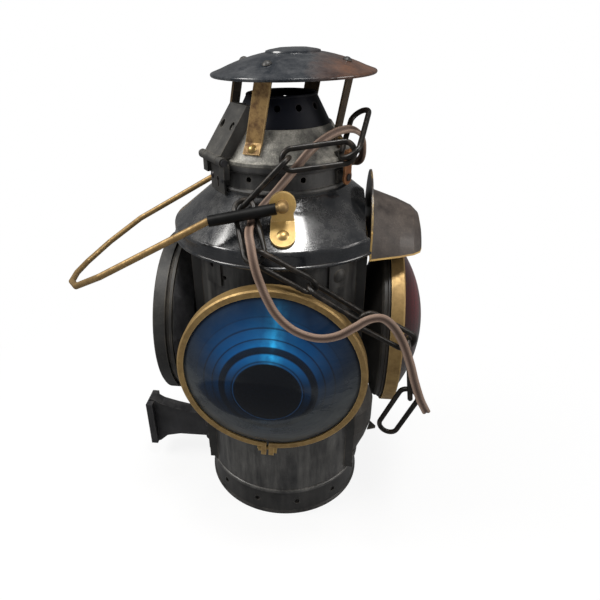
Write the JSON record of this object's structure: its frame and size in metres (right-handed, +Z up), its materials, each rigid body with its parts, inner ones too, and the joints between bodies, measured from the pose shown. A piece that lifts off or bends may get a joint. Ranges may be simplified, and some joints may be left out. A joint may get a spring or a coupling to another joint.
{
  "type": "railroad signal lantern",
  "caption": "Railroad signal lantern with round coloured lenses, sliding lens door, hinged chimney lid, wire bail and swag chain.",
  "frame": {"origin": "centre of the foot's lower face, on the lamp's upright axis", "axes": "+Z up, the blue front lens faces -Y, the sliding door with the red lens faces +X, the side bracket points along -X"},
  "size_m": [0.295, 0.2033, 0.3825],
  "materials": {
    "foot_black": "worn black paint",
    "barrel_black": "dusty black paint",
    "shoulder_black": "glossy black paint, dusty",
    "collar_grey": "dusty black paint",
    "lid_grey": "dusty black paint",
    "flue_navy": "dark paint",
    "cap_black": "glossy black paint with rust",
    "brass_aged": "aged brass",
    "brass_bright": "polished by wear",
    "iron_black": "black cast iron",
    "steel_dark": "dark oiled steel",
    "steel_brown": "browned steel",
    "hood_brown": "dusty brown-black paint",
    "cover_grey": "beaten sheet, grey-black",
    "bail_wire": "rusted galvanised wire",
    "sleeve_black": "black sleeve",
    "latch_orange": "rust brown",
    "chain_steel": "dark oiled steel",
    "cord_brown": "brown cord jacket",
    "glass_blue": "blue stepped glass",
    "glass_red": "deep red glass",
    "bulb_glass": "frosted glass",
    "socket_white": "glazed porcelain"
  },
  "bodies": {
    "body": {"foot": "foot_black", "floor_pan": "steel_dark", "barrel": "barrel_black", "door_guides": "steel_dark", "panel_guides": "steel_dark", "shoulder": "shoulder_black", "collar": "collar_grey", "front_housing": "barrel_black", "front_bezel": "brass_aged", "front_clamp_screw": "brass_bright", "front_lens": "glass_blue", "left_panel": "barrel_black", "left_housing": "barrel_black", "left_bezel": "iron_black", "left_clamp_screw": "steel_dark", "left_blank": "cover_grey", "left_cover": "cover_grey", "left_strap": "steel_dark", "ears": "brass_bright", "ear_rivets": "brass_bright", "body_rivets": "steel_dark", "hinge_leaf": "collar_grey", "leaf_rivets": "steel_dark", "hinge_pin": "steel_dark", "latch_bracket": "steel_brown", "latch_pin": "steel_brown", "side_bracket": "iron_black", "bracket_bolts": "steel_dark", "lamp_socket": "socket_white", "socket_post": "brass_aged", "bulb": "bulb_glass", "cord_bushing": "sleeve_black", "inner_lead": "cord_brown", "cord": "cord_brown", "chain_upper": "chain_steel", "chain_lower": "chain_steel"},
    "door": {"door": "barrel_black", "door_housing": "collar_grey", "door_bezel": "brass_aged", "door_clamp_screw": "brass_bright", "door_lens": "glass_red", "hood": "hood_brown", "door_rivets": "steel_brown", "door_tab": "steel_dark"},
    "lid": {"lid_skirt": "lid_grey", "flue_cone": "flue_navy", "lid_arm": "collar_grey", "strap_brass": "brass_aged", "straps_dark": "steel_brown", "strap_rivets": "brass_aged", "cap": "cap_black", "cap_button": "cap_black", "cap_rivets": "steel_dark", "latch_catch": "steel_dark"},
    "latch": {"latch": "latch_orange"},
    "bail": {"bail": "bail_wire", "bail_sleeves": "sleeve_black"}
  },
  "joints": [
    {"name": "door_lift", "type": "slide", "parent": "body", "child": "door", "axis": [0, 0, 1], "range_m": [0, 0.11]},
    {"name": "lid_hinge", "type": "hinge", "parent": "body", "child": "lid", "pos_m": [-0.04628, -0.03241, 0.314], "axis": [0.5736, -0.8192, 0], "range_deg": [0, 95]},
    {"name": "latch_turn", "type": "hinge", "parent": "body", "child": "latch", "pos_m": [0.04806, -0.02775, 0.3], "axis": [0.866, -0.5, 0], "range_deg": [0, 90]},
    {"name": "bail_swing", "type": "hinge", "parent": "body", "child": "bail", "pos_m": [0, 0, 0.291], "axis": [-0.1045, 0.9945, 0], "range_deg": [0, 170], "deforming": ["chain_upper"]}
  ]
}
